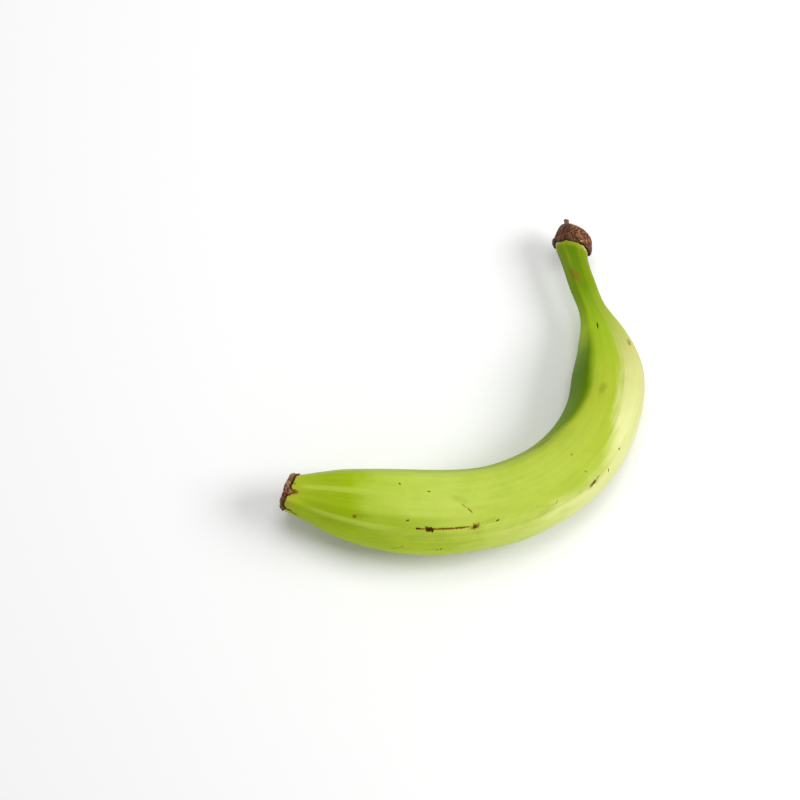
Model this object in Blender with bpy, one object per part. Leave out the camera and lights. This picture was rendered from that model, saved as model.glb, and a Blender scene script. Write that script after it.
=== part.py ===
"""A green plantain, as picked: one whole fruit with its stalk and dried crown, lying at rest.

The fruit, stalk and crown grew as one piece, so they are one closed body. It is a round section
with soft ridges, carried along a curved middle line from the blossom scar to the crown.

The frame: +Z is up and +X runs from the blossom end to the crown. The hollow side of the bend
faces +Y. The origin is on the surface that the fruit lies on, under the middle of its box.
"""

import math

import bmesh
import bpy
from mathutils import Matrix, Vector

# ---------------------------------------------------------------------------------------------
# Driving dimensions, in metres and degrees
# ---------------------------------------------------------------------------------------------

# Lengths along the middle line, each from the station before it.
NOSE_LENGTH = 0.0140  # blossom scar to the blunt nose
TAPER_LENGTH = 0.0140  # nose to the middle of the taper
SWELL_LENGTH = 0.0190  # taper to where the belly is nearly full
BELLY_LENGTH = 0.0220  # to the thickest place
WAIST_LENGTH = 0.0450  # thickest place to the start of the bend
BEND_LENGTH = 0.0540  # along the outside bend
HIP_LENGTH = 0.0280  # bend to the last full place
SHOULDER_LENGTH = 0.0230  # last full place to the shoulder's edge
NECK_LENGTH = 0.0190  # down the shoulder
STALK_START_LENGTH = 0.0180  # foot of the shoulder to the thin stalk
STALK_MIDDLE_LENGTH = 0.0160  # to the thinnest part of the stalk
STALK_END_LENGTH = 0.0160  # to where the stalk spreads into the crown
RIM_LENGTH = 0.0100  # spreading stalk to the crown's rim

# Mean diameters at those stations.
SCAR_DIAMETER = 0.0202
NOSE_DIAMETER = 0.0284
TAPER_DIAMETER = 0.0368
SWELL_DIAMETER = 0.0434
BELLY_DIAMETER = 0.0462
WAIST_DIAMETER = 0.0444
BEND_DIAMETER = 0.0430
HIP_DIAMETER = 0.0416
SHOULDER_DIAMETER = 0.0398
NECK_DIAMETER = 0.0282
STALK_START_DIAMETER = 0.0152
STALK_MIDDLE_DIAMETER = 0.0142
STALK_END_DIAMETER = 0.0144
RIM_DIAMETER = 0.0204

# How the middle line turns: the angle of each bend, where along the line its middle is, and how
# far it spreads either way.
MAIN_BEND = 185.4
MAIN_BEND_PLACE = 0.2026
MAIN_BEND_SPREAD = 0.0890
STALK_RETURN = 89.8
STALK_RETURN_PLACE = 0.2949
STALK_RETURN_SPREAD = 0.0319

# The five ridges stand between five flatter faces. These are the directions the faces look
# round the section: 0 is the outside of the bend and 90 is up.
FACE_DIRECTIONS = (11.5, 89.0, 165.0, 232.5, 300.0)
RIDGE_SHARPNESS = 14.0
SCAR_ANGULARITY = 0.50  # 0 is round and 1 is fully five-sided
BELLY_ANGULARITY = 0.45
STALK_ANGULARITY = 0.70

# The blossom end is cut off at a slant, and its dry scar stands slightly proud.
SCAR_SLANT = 12.0
SCAR_SLANT_REACH = 0.014
SCAR_DOME_HEIGHT = 0.0026

# The dried crown: a pointed cap, tilted out of the bend, with its peak off to the hollow side and
# a nub on the peak. Its rim is uneven by RIM_UNEVENNESS either way.
CAP_TILT = 14.0
CAP_HEIGHT = 0.0100
CAP_POINTEDNESS = 1.6  # 1 is a round dome, and higher is closer to a cone
CAP_PEAK_OFFSET = 0.0050
CAP_PEAK_DIRECTION = 180.0
NUB_DIAMETER = 0.0034
NUB_HEIGHT = 0.0028
NUB_SIDE_HEIGHT = 0.0017  # how far up the nub its side runs straight
NUB_ROUNDING = 0.45  # how far in from its side the nub's rounded end begins to flatten
RIM_UNEVENNESS = 0.0006
RIM_BROAD_WAVES = 2
RIM_SMALL_WAVES = 5
RIM_SMALL_WAVE_SHARE = 0.6
RIM_WAVE_START = 34.0  # the direction, back from the outside of the bend, of a broad wave's top

# The skin is pressed flat by this much where the fruit's weight rests on it.
CONTACT_DEPTH = 0.0004
MOST_TIP = 45.0  # the side it was drawn lying on tips by less than this as it settles

# How finely the surface is divided.
POINTS_ROUND = 32
RING_SPACING = 0.0060
CROWN_RING_SPACING = 0.0034
LINE_STEPS = 600
CAP_RINGS = 5
SCAR_RINGS = 4
SHARP_EDGE = 40.0

# The peel's finish.
PEEL_COLOUR = (0.44, 0.58, 0.06, 1.0)
PEEL_ROUGHNESS = 0.42

# Each station's length from the one before, and its diameter, from the scar to the crown's rim.
STATIONS = (
    (0.0, SCAR_DIAMETER),
    (NOSE_LENGTH, NOSE_DIAMETER),
    (TAPER_LENGTH, TAPER_DIAMETER),
    (SWELL_LENGTH, SWELL_DIAMETER),
    (BELLY_LENGTH, BELLY_DIAMETER),
    (WAIST_LENGTH, WAIST_DIAMETER),
    (BEND_LENGTH, BEND_DIAMETER),
    (HIP_LENGTH, HIP_DIAMETER),
    (SHOULDER_LENGTH, SHOULDER_DIAMETER),
    (NECK_LENGTH, NECK_DIAMETER),
    (STALK_START_LENGTH, STALK_START_DIAMETER),
    (STALK_MIDDLE_LENGTH, STALK_MIDDLE_DIAMETER),
    (STALK_END_LENGTH, STALK_END_DIAMETER),
    (RIM_LENGTH, RIM_DIAMETER),
)
RIM_PLACE = sum(length for length, _ in STATIONS)
CROWN_PLACE = RIM_PLACE - RIM_LENGTH
STALK_PLACE = CROWN_PLACE - STALK_END_LENGTH - STALK_MIDDLE_LENGTH
BEND_PLACE = STALK_PLACE - STALK_START_LENGTH - NECK_LENGTH - SHOULDER_LENGTH - HIP_LENGTH
BELLY_PLACE = NOSE_LENGTH + TAPER_LENGTH + SWELL_LENGTH + BELLY_LENGTH


# ---------------------------------------------------------------------------------------------
# Curves
# ---------------------------------------------------------------------------------------------


def smooth_step(t):
    """0 before 0, 1 after 1, and a smooth rise between them."""
    t = min(1.0, max(0.0, t))
    return t * t * (3.0 - 2.0 * t)


def bell_sum(t):
    """The share of a bell curve's area that lies before t spreads from its centre."""
    return 0.5 * (1.0 + math.erf(t / math.sqrt(2.0)))


def station_places():
    """The place of each station along the middle line."""
    places = []
    reached = 0.0
    for length, _ in STATIONS:
        reached += length
        places.append(reached)
    return places


def station_slopes(places, radii):
    """The outline's slope at each station, from the station before it to the one after it."""
    last = len(places) - 1
    slopes = []
    for i in range(len(places)):
        before, after = max(0, i - 1), min(last, i + 1)
        slopes.append((radii[after] - radii[before]) / (places[after] - places[before]))
    return slopes


PLACES = station_places()
RADII = [diameter / 2.0 for _, diameter in STATIONS]
SLOPES = station_slopes(PLACES, RADII)


def radius_at(place):
    """The section's radius at a place along the middle line: a cubic between stations."""
    i = 0
    while i < len(PLACES) - 2 and place > PLACES[i + 1]:
        i += 1
    span = PLACES[i + 1] - PLACES[i]
    t = (place - PLACES[i]) / span
    rise = smooth_step(t)
    start_slope = (t**3 - 2.0 * t**2 + t) * span * SLOPES[i]
    end_slope = (t**3 - t**2) * span * SLOPES[i + 1]
    return RADII[i] * (1.0 - rise) + RADII[i + 1] * rise + start_slope + end_slope


def heading_at(place):
    """The middle line's direction in its plane, in radians, at a place along it."""
    main = MAIN_BEND * bell_sum((place - MAIN_BEND_PLACE) / MAIN_BEND_SPREAD)
    back = STALK_RETURN * bell_sum((place - STALK_RETURN_PLACE) / STALK_RETURN_SPREAD)
    return math.radians(main - back)


def middle_line():
    """Points and headings at even steps along the middle line, which lies in the XY plane."""
    step = RIM_PLACE / LINE_STEPS
    point = Vector((0.0, 0.0, 0.0))
    line = [(point.copy(), heading_at(0.0))]
    for i in range(LINE_STEPS):
        halfway = heading_at((i + 0.5) * step)
        point += step * Vector((math.cos(halfway), math.sin(halfway), 0.0))
        line.append((point.copy(), heading_at((i + 1) * step)))
    return line


LINE = middle_line()


def line_at(place):
    """The middle line's point and heading at a place along it."""
    position = place / RIM_PLACE * LINE_STEPS
    i = min(LINE_STEPS - 1, int(position))
    t = position - i
    point = LINE[i][0].lerp(LINE[i + 1][0], t)
    return point, LINE[i][1] * (1.0 - t) + LINE[i + 1][1] * t


# ---------------------------------------------------------------------------------------------
# Sections
# ---------------------------------------------------------------------------------------------


def five_sided(angle):
    """How far a soft five-sided outline stands from its centre at an angle; a face is at 1."""
    total = 0.0
    for direction in FACE_DIRECTIONS:
        facing = math.cos(angle - math.radians(direction))
        total += max(0.0, facing) ** RIDGE_SHARPNESS
    return total ** (-1.0 / RIDGE_SHARPNESS)


def mean_five_sided():
    """The average of five_sided round the section, which keeps the girth as it is set."""
    angles = [2.0 * math.pi * i / 360.0 for i in range(360)]
    return sum(five_sided(angle) for angle in angles) / len(angles)


MEAN_FIVE_SIDED = mean_five_sided()


def angularity_at(place):
    """How five-sided the section is: most at the two ends, least round the belly."""
    to_belly = smooth_step(place / BELLY_PLACE)
    to_stalk = smooth_step((place - BEND_PLACE) / (STALK_PLACE - BEND_PLACE))
    to_crown = smooth_step((place - CROWN_PLACE) / RIM_LENGTH)
    value = SCAR_ANGULARITY + (BELLY_ANGULARITY - SCAR_ANGULARITY) * to_belly
    value += (STALK_ANGULARITY - BELLY_ANGULARITY) * to_stalk
    return value * (1.0 - to_crown)


def section_share(angle, place):
    """The skin's distance from the middle line at an angle, as a share of the radius."""
    shape = five_sided(angle) / MEAN_FIVE_SIDED
    return 1.0 + angularity_at(place) * (shape - 1.0)


def rim_swell(angle):
    """How far the crown's rim stands out or in at an angle: broad waves with small ones on."""
    broad = math.cos(RIM_BROAD_WAVES * angle + math.radians(RIM_WAVE_START))
    small = math.cos(RIM_SMALL_WAVES * angle)
    return RIM_UNEVENNESS * (broad - RIM_SMALL_WAVE_SHARE * small)


def frame_at(heading):
    """The section's two axes: out of the bend, and up."""
    outward = Vector((math.sin(heading), -math.cos(heading), 0.0))
    return outward, Vector((0.0, 0.0, 1.0))


def ring_angles():
    """The angles of the points round a section."""
    return [2.0 * math.pi * i / POINTS_ROUND for i in range(POINTS_ROUND)]


# ---------------------------------------------------------------------------------------------
# Rings of points, from the blossom scar to the nub on the crown
# ---------------------------------------------------------------------------------------------


def fruit_ring(place):
    """The ring of points round the fruit at a place along the middle line."""
    point, heading = line_at(place)
    outward, up = frame_at(heading)
    forward = Vector((math.cos(heading), math.sin(heading), 0.0))
    to_crown = smooth_step((place - CROWN_PLACE) / RIM_LENGTH)
    slant = SCAR_SLANT * (1.0 - smooth_step(place / SCAR_SLANT_REACH)) + CAP_TILT * to_crown
    lean = math.tan(math.radians(slant))
    ring = []
    for angle in ring_angles():
        reach = radius_at(place) * section_share(angle, place) + to_crown * rim_swell(angle)
        out = reach * math.cos(angle)
        ring.append(point + out * outward + reach * math.sin(angle) * up - out * lean * forward)
    return ring


def scar_rings():
    """The rings that close the blossom end in a low dome, from its middle outwards."""
    edge = fruit_ring(0.0)
    middle = sum(edge, Vector()) / len(edge)
    heading = heading_at(0.0)
    backward = -Vector((math.cos(heading), math.sin(heading), 0.0))
    rings = []
    for i in range(SCAR_RINGS):
        turn = math.pi / 2.0 * (i + 1.0) / (SCAR_RINGS + 1.0)
        share = math.sin(turn)
        rise = SCAR_DOME_HEIGHT * math.cos(turn)
        rings.append([middle.lerp(corner, share) + rise * backward for corner in edge])
    return middle + SCAR_DOME_HEIGHT * backward, rings


def cap_rings():
    """The rings of the crown's cap and nub, from just past the rim to the nub's end."""
    point, heading = line_at(RIM_PLACE)
    tilted = heading - math.radians(CAP_TILT)
    outward, up = frame_at(tilted)
    forward = Vector((math.cos(tilted), math.sin(tilted), 0.0))
    aside = math.radians(CAP_PEAK_DIRECTION)
    to_peak = CAP_PEAK_OFFSET * (math.cos(aside) * outward + math.sin(aside) * up)
    nub_radius = NUB_DIAMETER / 2.0
    rings = []
    for i in range(1, CAP_RINGS + 1):
        turn = math.pi / 2.0 * i / CAP_RINGS
        fullness = max(0.0, math.cos(turn)) ** CAP_POINTEDNESS
        centre = point + CAP_HEIGHT * math.sin(turn) * forward + (1.0 - fullness) * to_peak
        ring = []
        for angle in ring_angles():
            rim_reach = RIM_DIAMETER / 2.0 + rim_swell(angle)
            reach = nub_radius + (rim_reach - nub_radius) * fullness
            ring.append(centre + reach * (math.cos(angle) * outward + math.sin(angle) * up))
        rings.append(ring)
    peak = point + CAP_HEIGHT * forward + to_peak
    nub_end = peak + NUB_HEIGHT * forward
    nub_edge = [corner + NUB_SIDE_HEIGHT * forward for corner in rings[-1]]
    rings.append(nub_edge)
    rings.append([corner.lerp(nub_end, NUB_ROUNDING) for corner in nub_edge])
    return rings, nub_end


def ring_places():
    """Where the rings stand along the middle line: even steps, closer together at the crown."""
    body_steps = math.ceil(CROWN_PLACE / RING_SPACING)
    crown_steps = math.ceil(RIM_LENGTH / CROWN_RING_SPACING)
    body = [CROWN_PLACE * i / body_steps for i in range(body_steps)]
    crown = [CROWN_PLACE + RIM_LENGTH * i / crown_steps for i in range(crown_steps + 1)]
    return body + crown


# ---------------------------------------------------------------------------------------------
# The solid
# ---------------------------------------------------------------------------------------------


def loop_of(mesh, ring):
    """Adds a ring's points to the mesh as one closed loop of edges."""
    corners = [mesh.verts.new(point) for point in ring]
    return [mesh.edges.new((corners[i - 1], corners[i])) for i in range(len(corners))]


def close_with_point(mesh, loop, point):
    """Closes a loop with a fan of triangles to one point."""
    tip = mesh.verts.new(point)
    for edge in loop:
        mesh.faces.new((edge.verts[0], edge.verts[1], tip))


def fruit_mesh():
    """The whole fruit, with its middle line in the XY plane and its blossom end at the origin."""
    mesh = bmesh.new()
    scar_middle, scar = scar_rings()
    cap, nub_end = cap_rings()
    rings = scar + [fruit_ring(place) for place in ring_places()] + cap
    loops = [loop_of(mesh, ring) for ring in rings]
    for before, after in zip(loops, loops[1:]):
        bmesh.ops.bridge_loops(mesh, edges=before + after)
    close_with_point(mesh, loops[0], scar_middle)
    close_with_point(mesh, loops[-1], nub_end)
    bmesh.ops.recalc_face_normals(mesh, faces=mesh.faces)
    return mesh


def centre_of_mass(mesh):
    """The centre of the closed solid, from the tetrahedra that its triangles make."""
    whole = 0.0
    centre = Vector()
    for a, b, c in (
        [loop.vert.co for loop in triangle] for triangle in mesh.calc_loop_triangles()
    ):
        volume = a.dot(b.cross(c)) / 6.0
        whole += volume
        centre += volume * (a + b + c) / 4.0
    return centre / whole


def is_under(face, centre):
    """Whether a flat face of the hull lies squarely under the centre."""
    corners = [vertex.co for vertex in face.verts]
    for start, end in zip(corners, corners[1:] + corners[:1]):
        if (end - start).cross(centre - start).dot(face.normal) < 0.0:
            return False
    return True


def resting_normal(mesh, centre):
    """The outward normal of the hull face that the fruit lies on with its upper side up."""
    hull = bmesh.new()
    for vertex in mesh.verts:
        hull.verts.new(vertex.co)
    bmesh.ops.convex_hull(hull, input=hull.verts)
    hull.normal_update()
    best = None
    for face in hull.faces:
        faces_down = face.normal.z < -math.cos(math.radians(MOST_TIP))
        if faces_down and is_under(face, centre):
            height = (face.verts[0].co - centre).dot(face.normal)
            if best is None or height < best[0]:
                best = (height, face.normal.copy())
    hull.free()
    return best[1]


def lay_down(mesh):
    """Turns the fruit to lie on the surface at rest, and puts the origin under its middle."""
    crown_end = line_at(RIM_PLACE)[0]
    normal = resting_normal(mesh, centre_of_mass(mesh))
    settle = normal.rotation_difference(Vector((0.0, 0.0, -1.0))).to_matrix()
    along = settle @ crown_end
    turn = Matrix.Rotation(-math.atan2(along.y, along.x), 3, "Z")
    bmesh.ops.transform(mesh, matrix=(turn @ settle).to_4x4(), verts=mesh.verts)
    low = Vector(min(vertex.co[axis] for vertex in mesh.verts) for axis in range(3))
    high = Vector(max(vertex.co[axis] for vertex in mesh.verts) for axis in range(3))
    shift = Vector((-(low.x + high.x) / 2.0, -(low.y + high.y) / 2.0, -low.z - CONTACT_DEPTH))
    bmesh.ops.translate(mesh, vec=shift, verts=mesh.verts)


def press_flat(mesh):
    """Cuts the skin off level with the surface, where the fruit's weight flattens it."""
    cut = bmesh.ops.bisect_plane(
        mesh,
        geom=mesh.verts[:] + mesh.edges[:] + mesh.faces[:],
        dist=1e-6,
        plane_co=(0.0, 0.0, 0.0),
        plane_no=(0.0, 0.0, 1.0),
        clear_inner=True,
    )
    rim = [item for item in cut["geom_cut"] if isinstance(item, bmesh.types.BMEdge)]
    bmesh.ops.holes_fill(mesh, edges=rim, sides=0)
    bmesh.ops.recalc_face_normals(mesh, faces=mesh.faces)


def peel_material():
    """Waxy green peel."""
    material = bpy.data.materials.new("green_peel")
    material.use_nodes = True
    finish = material.node_tree.nodes["Principled BSDF"]
    finish.inputs["Base Color"].default_value = PEEL_COLOUR
    finish.inputs["Roughness"].default_value = PEEL_ROUGHNESS
    finish.inputs["Metallic"].default_value = 0.0
    return material


def clear_scene():
    """Removes every object, so that the file holds only the fruit."""
    for item in list(bpy.data.objects):
        bpy.data.objects.remove(item, do_unlink=True)


def main():
    """Builds the plantain."""
    clear_scene()
    mesh = fruit_mesh()
    lay_down(mesh)
    press_flat(mesh)
    data = bpy.data.meshes.new("plantain")
    mesh.to_mesh(data)
    mesh.free()
    data.materials.append(peel_material())
    data.shade_smooth()
    data.set_sharp_from_angle(angle=math.radians(SHARP_EDGE))
    fruit = bpy.data.objects.new("plantain", data)
    bpy.context.scene.collection.objects.link(fruit)


main()
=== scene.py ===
"""A green plantain lying on a pale table under soft studio light.

The fruit is three pieces: the peel with its stalk, the dried crown on the stalk's end, and the dry
scar at the blossom end. Each is grown along the fruit's middle line while that lies flat, and is
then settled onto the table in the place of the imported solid.
"""

import logging
import math
from dataclasses import dataclass
from enum import Enum
from typing import Optional, Sequence, Union

import bpy
import numpy as np
from mathutils import Euler, Matrix, Vector, noise
from mathutils.bvhtree import BVHTree


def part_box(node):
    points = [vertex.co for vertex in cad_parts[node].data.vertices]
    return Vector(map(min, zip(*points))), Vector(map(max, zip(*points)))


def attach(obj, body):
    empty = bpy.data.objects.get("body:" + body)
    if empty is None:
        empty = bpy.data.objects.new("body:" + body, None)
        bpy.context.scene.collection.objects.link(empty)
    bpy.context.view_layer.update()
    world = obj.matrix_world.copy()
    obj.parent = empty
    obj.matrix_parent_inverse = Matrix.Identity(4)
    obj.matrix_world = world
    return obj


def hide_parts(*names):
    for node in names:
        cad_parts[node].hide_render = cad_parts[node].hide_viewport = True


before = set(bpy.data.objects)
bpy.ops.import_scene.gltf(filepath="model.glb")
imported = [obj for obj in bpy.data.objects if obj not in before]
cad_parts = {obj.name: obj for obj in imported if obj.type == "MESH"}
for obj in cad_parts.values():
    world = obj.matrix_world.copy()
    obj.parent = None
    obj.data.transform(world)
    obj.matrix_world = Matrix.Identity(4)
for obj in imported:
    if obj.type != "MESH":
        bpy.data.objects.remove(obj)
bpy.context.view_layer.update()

LOG = logging.getLogger("plantain")
SOLID = "plantain"
BODY = "root"

Number = Union[int, float]
Trio = tuple[float, float, float]
Colour = Trio
Ends = tuple[float, float, float, float]
Rows = np.ndarray


def from_card(red: int, green: int, blue: int) -> Colour:
    """Turns a paint card's colour, from 0 to 255 each, into the renderer's linear colour.

    Args:
        red: The card's red.
        green: The card's green.
        blue: The card's blue.

    Returns:
        The same colour as three linear shares.
    """
    shares = (red / 255.0, green / 255.0, blue / 255.0)
    return tuple(c / 12.92 if c <= 0.04045 else ((c + 0.055) / 1.055) ** 2.4 for c in shares)


def smooth_rise(value: Rows, start: float, end: float) -> Rows:
    """Rises smoothly from 0 at start to 1 at end.

    Args:
        value: Where to look.
        start: Where the rise begins.
        end: Where it is over.

    Returns:
        The height of the rise at each value.
    """
    t = np.clip((np.asarray(value, dtype=float) - start) / (end - start), 0.0, 1.0)
    return t * t * (3.0 - 2.0 * t)


def turn_between(angle: Rows, direction: float) -> Rows:
    """The turn from a direction in degrees to each angle in radians, from -pi to pi."""
    return (angle - math.radians(direction) + math.pi) % (2.0 * math.pi) - math.pi


# ---------------------------------------------------------------------------------------------
# The fruit's form
# ---------------------------------------------------------------------------------------------


@dataclass(frozen=True)
class Bend:
    """One bend of the middle line: its turn in degrees, where its middle is, and its spread."""

    turn: float
    place: float
    spread: float

    def turned(self, place: float) -> float:
        """How far the line has turned at a place, in degrees."""
        return self.turn * 0.5 * (1.0 + math.erf((place - self.place) / self.spread / math.sqrt(2.0)))


@dataclass(frozen=True)
class Station:
    """A section of the fruit: how far along the middle line it stands, and its mean diameter."""

    place: float
    diameter: float


@dataclass
class MiddleLine:
    """The curve that the fruit grew along, flat in the XY plane with the blossom end at zero."""

    length: float = 0.298
    bends: tuple[Bend, ...] = (Bend(185.4, 0.2026, 0.0890), Bend(-89.8, 0.2949, 0.0319))
    steps: int = 600
    overrun: float = 0.010

    def __post_init__(self) -> None:
        """Walks along the line once and keeps its points and headings."""
        step = self.length / self.steps
        extra = int(self.overrun / step)
        self.places = np.arange(-extra, self.steps + extra + 1) * step
        self.headings = np.array([self.heading(place) for place in self.places])
        halfway = np.array([self.heading(place + 0.5 * step) for place in self.places[:-1]])
        walk = np.stack([np.cos(halfway), np.sin(halfway)], axis=1) * step
        points = np.concatenate([np.zeros((1, 2)), np.cumsum(walk, axis=0)])
        self.points = points - points[extra]

    def heading(self, place: float) -> float:
        """The line's direction at a place, in radians."""
        return math.radians(sum(bend.turned(place) for bend in self.bends))

    def point(self, place: float) -> Vector:
        """Finds a point of the line.

        Args:
            place: The place along it.

        Returns:
            The point, in the XY plane.
        """
        x = np.interp(place, self.places, self.points[:, 0])
        y = np.interp(place, self.places, self.points[:, 1])
        return Vector((float(x), float(y), 0.0))

    def locate(self, points: Rows) -> tuple[Rows, Rows, Rows]:
        """Finds where points stand along and round the line.

        Args:
            points: Points, one in each row.

        Returns:
            The place along the line, the distance from it, and the angle round it, where 0 is
            the outside of the bend and a quarter turn is up.
        """
        nearest = np.empty(len(points), dtype=int)
        for start in range(0, len(points), 8000):
            part = points[start : start + 8000, None, :2] - self.points[None, :, :]
            nearest[start : start + 8000] = np.argmin((part**2).sum(axis=2), axis=1)
        away = points[:, :2] - self.points[nearest]
        heading = self.headings[nearest]
        ahead = away[:, 0] * np.cos(heading) + away[:, 1] * np.sin(heading)
        out = away[:, 0] * np.sin(heading) - away[:, 1] * np.cos(heading)
        place = self.places[nearest] + ahead
        return place, np.hypot(out, points[:, 2]), np.arctan2(points[:, 2], out)


@dataclass
class Section:
    """The fruit's soft five-sided section and how its size changes along the middle line."""

    stations: tuple[Station, ...] = (
        Station(0.000, 0.0202),
        Station(0.014, 0.0284),
        Station(0.028, 0.0368),
        Station(0.047, 0.0434),
        Station(0.069, 0.0462),
        Station(0.114, 0.0444),
        Station(0.168, 0.0430),
        Station(0.196, 0.0416),
        Station(0.219, 0.0398),
        Station(0.238, 0.0282),
        Station(0.256, 0.0152),
        Station(0.272, 0.0142),
        Station(0.288, 0.0144),
        Station(0.298, 0.0204),
    )
    face_directions: tuple[float, ...] = (11.5, 89.0, 165.0, 232.5, 300.0)
    ridge_directions: tuple[float, ...] = (50.0, 127.0, 199.0, 266.0, 336.0)
    sharpness: float = 14.0
    scar_angularity: float = 0.50
    belly_angularity: float = 0.45
    stalk_angularity: float = 0.70
    belly_place: float = 0.069
    bend_place: float = 0.168
    stalk_place: float = 0.256
    crown_place: float = 0.288
    rim_place: float = 0.298
    rim_unevenness: float = 0.0006

    def __post_init__(self) -> None:
        """Works out the outline's slopes and the five-sided outline's mean size."""
        self.places = np.array([station.place for station in self.stations])
        self.radii = np.array([station.diameter / 2.0 for station in self.stations])
        before = np.maximum(np.arange(len(self.places)) - 1, 0)
        after = np.minimum(np.arange(len(self.places)) + 1, len(self.places) - 1)
        rise = self.radii[after] - self.radii[before]
        self.slopes = rise / (self.places[after] - self.places[before])
        self.mean = float(np.mean(self.corners(np.linspace(0.0, 2.0 * math.pi, 721)[:-1])))

    def corners(self, angle: Rows) -> Rows:
        """How far a five-sided outline with soft corners stands out.

        Args:
            angle: Angles round the section, in radians.

        Returns:
            The distance at each angle, where a side's middle is at about 1.
        """
        total = np.zeros_like(angle, dtype=float)
        for direction in self.face_directions:
            facing = np.maximum(0.0, np.cos(angle - math.radians(direction)))
            total += facing**self.sharpness
        return total ** (-1.0 / self.sharpness)

    def radius(self, place: Rows) -> Rows:
        """The section's mean radius at each place.

        Args:
            place: Places along the middle line.

        Returns:
            The radius at each place, on a smooth outline through the stations.
        """
        place = np.clip(np.asarray(place, dtype=float), self.places[0], self.places[-1])
        i = np.clip(np.searchsorted(self.places, place) - 1, 0, len(self.places) - 2)
        span = self.places[i + 1] - self.places[i]
        t = (place - self.places[i]) / span
        rise = t * t * (3.0 - 2.0 * t)
        ends = self.radii[i] * (1.0 - rise) + self.radii[i + 1] * rise
        start_slope = (t**3 - 2.0 * t**2 + t) * span * self.slopes[i]
        return ends + start_slope + (t**3 - t**2) * span * self.slopes[i + 1]

    def share(self, angle: Rows, place: Rows) -> Rows:
        """The skin's distance from the middle line as a share of the mean radius.

        Args:
            angle: Angles round the section, in radians.
            place: The places along the middle line that go with them.

        Returns:
            The share at each angle and place.
        """
        to_belly = smooth_rise(place, 0.0, self.belly_place)
        to_stalk = smooth_rise(place, self.bend_place, self.stalk_place)
        to_crown = smooth_rise(place, self.crown_place, self.rim_place)
        angularity = self.scar_angularity
        angularity += (self.belly_angularity - self.scar_angularity) * to_belly
        angularity += (self.stalk_angularity - self.belly_angularity) * to_stalk
        angularity *= 1.0 - to_crown
        return 1.0 + angularity * (self.corners(angle) / self.mean - 1.0)

    def rim_swell(self, angle: Rows) -> Rows:
        """How far the crown's rim stands out or in at each angle."""
        broad = np.cos(2.0 * angle + math.radians(34.0))
        return self.rim_unevenness * (broad - 0.6 * np.cos(5.0 * angle))


@dataclass(frozen=True)
class SkinMap:
    """How the skin is laid out for its finish: on a straight tube of one radius."""

    section: Section
    tube_radius: float = 0.020

    def note(self, piece: bpy.types.Object, place: Rows, angle: Rows) -> None:
        """Notes where each of a piece's points is on the tube.

        Args:
            piece: The piece.
            place: The points' places along the middle line.
            angle: Their angles round it.
        """
        out, up = self.tube_radius * np.cos(angle), self.tube_radius * np.sin(angle)
        note_value(piece, "skin", np.stack([place, out, up], axis=1))

    def laid_out(self, place: float, angle: float) -> Vector:
        """Finds a point on the tube.

        Args:
            place: The point's place along the fruit.
            angle: Its angle round it, in degrees.

        Returns:
            The point.
        """
        out, up = math.cos(math.radians(angle)), math.sin(math.radians(angle))
        return Vector((place, self.tube_radius * out, self.tube_radius * up))

    def width_at(self, place: float, width: float) -> float:
        """The width on the tube of something that wide on the fruit."""
        return width * self.tube_radius / float(self.section.radius(place))


@dataclass
class Rest:
    """How the fruit lies: its turn, and its blossom end's place from the solid's low corner."""

    turn: Trio = (-0.9332, 0.6258, -57.5999)
    from_low_corner: Trio = (0.009458, 0.113939, 0.024291)
    softness: float = 0.0002

    def settle(self, piece: bpy.types.Object) -> None:
        """Lays a piece that was grown on the flat middle line onto the table.

        Args:
            piece: The piece, whose object is left at the origin.
        """
        low = Vector(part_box(SOLID)[0])
        lift_off()
        bpy.context.view_layer.objects.active = piece
        piece.select_set(True)
        piece.rotation_euler = Euler([math.radians(angle) for angle in self.turn])
        piece.location = low + Vector(self.from_low_corner)
        bpy.ops.object.transform_apply(location=True, rotation=True, scale=True)
        points = points_of(piece)
        height = points[:, 2]
        points[:, 2] = 0.5 * (height + np.sqrt(height**2 + self.softness**2))
        move_points(piece, points)


# ---------------------------------------------------------------------------------------------
# Modelling
# ---------------------------------------------------------------------------------------------


@dataclass(frozen=True)
class Hoop:
    """One round section of a grown form: its centre, the way it faces, and its radius."""

    centre: Vector
    heading: float
    radius: float


def lift_off() -> None:
    """Leaves edit mode and leaves nothing selected."""
    if bpy.context.object is not None and bpy.context.object.mode != "OBJECT":
        bpy.ops.object.mode_set(mode="OBJECT")
    bpy.ops.object.select_all(action="DESELECT")


def points_of(piece: bpy.types.Object) -> Rows:
    """Reads a piece's points.

    Args:
        piece: The piece.

    Returns:
        The points, one in each row.
    """
    flat = np.empty(len(piece.data.vertices) * 3)
    piece.data.vertices.foreach_get("co", flat)
    return flat.reshape(-1, 3)


def facing_of(piece: bpy.types.Object) -> Rows:
    """Reads the way the surface faces at each of a piece's points.

    Args:
        piece: The piece.

    Returns:
        The directions, one in each row.
    """
    flat = np.empty(len(piece.data.vertices) * 3, dtype=np.float32)
    piece.data.vertex_normals.foreach_get("vector", flat)
    return flat.reshape(-1, 3).astype(float)


def move_points(piece: bpy.types.Object, points: Rows) -> None:
    """Puts a piece's points where the rows say."""
    piece.data.vertices.foreach_set("co", np.ascontiguousarray(points).ravel())
    piece.data.update()


def surface_of(piece: bpy.types.Object) -> BVHTree:
    """A piece's surface as it is now, for finding where a line meets it."""
    corners = [vertex.co.copy() for vertex in piece.data.vertices]
    return BVHTree.FromPolygons(corners, [tuple(face.vertices) for face in piece.data.polygons])


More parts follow.
